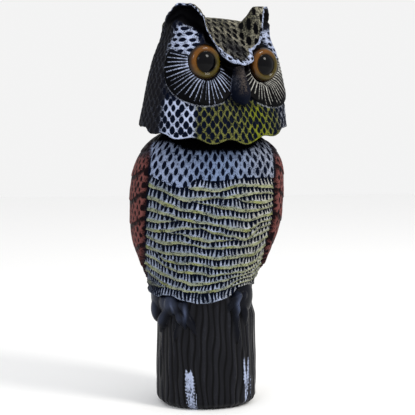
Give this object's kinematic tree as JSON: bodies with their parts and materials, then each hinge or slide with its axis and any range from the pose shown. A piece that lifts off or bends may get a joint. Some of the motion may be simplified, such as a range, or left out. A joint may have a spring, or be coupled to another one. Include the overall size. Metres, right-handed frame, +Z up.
{
  "type": "owl decoy",
  "caption": "Garden owl decoy on a tree stump: one-piece body with folded wings, head that turns on a neck pin, and set-in glossy eyes.",
  "frame": {"origin": "on the flat underside of the stump, where the upright neck axis meets it", "axes": "+Z up along the neck axis, -Y the way the breast faces, +X towards the owl's own left wing"},
  "size_m": [0.1584, 0.1411, 0.4],
  "materials": {
    "body_plastic": "charcoal moulded plastic, dry-brushed by hand",
    "head_plastic": "charcoal moulded plastic, dry-brushed by hand",
    "eye_gloss": "glossy amber with a black pupil"
  },
  "bodies": {
    "body": {"body": "body_plastic"},
    "head": {"head": "head_plastic", "eye_left": "eye_gloss", "eye_right": "eye_gloss"}
  },
  "joints": [
    {"name": "head_spin", "type": "hinge", "parent": "body", "child": "head", "pos_m": [0, 0, 0.292], "axis": [0, 0, 1], "continuous": true}
  ]
}
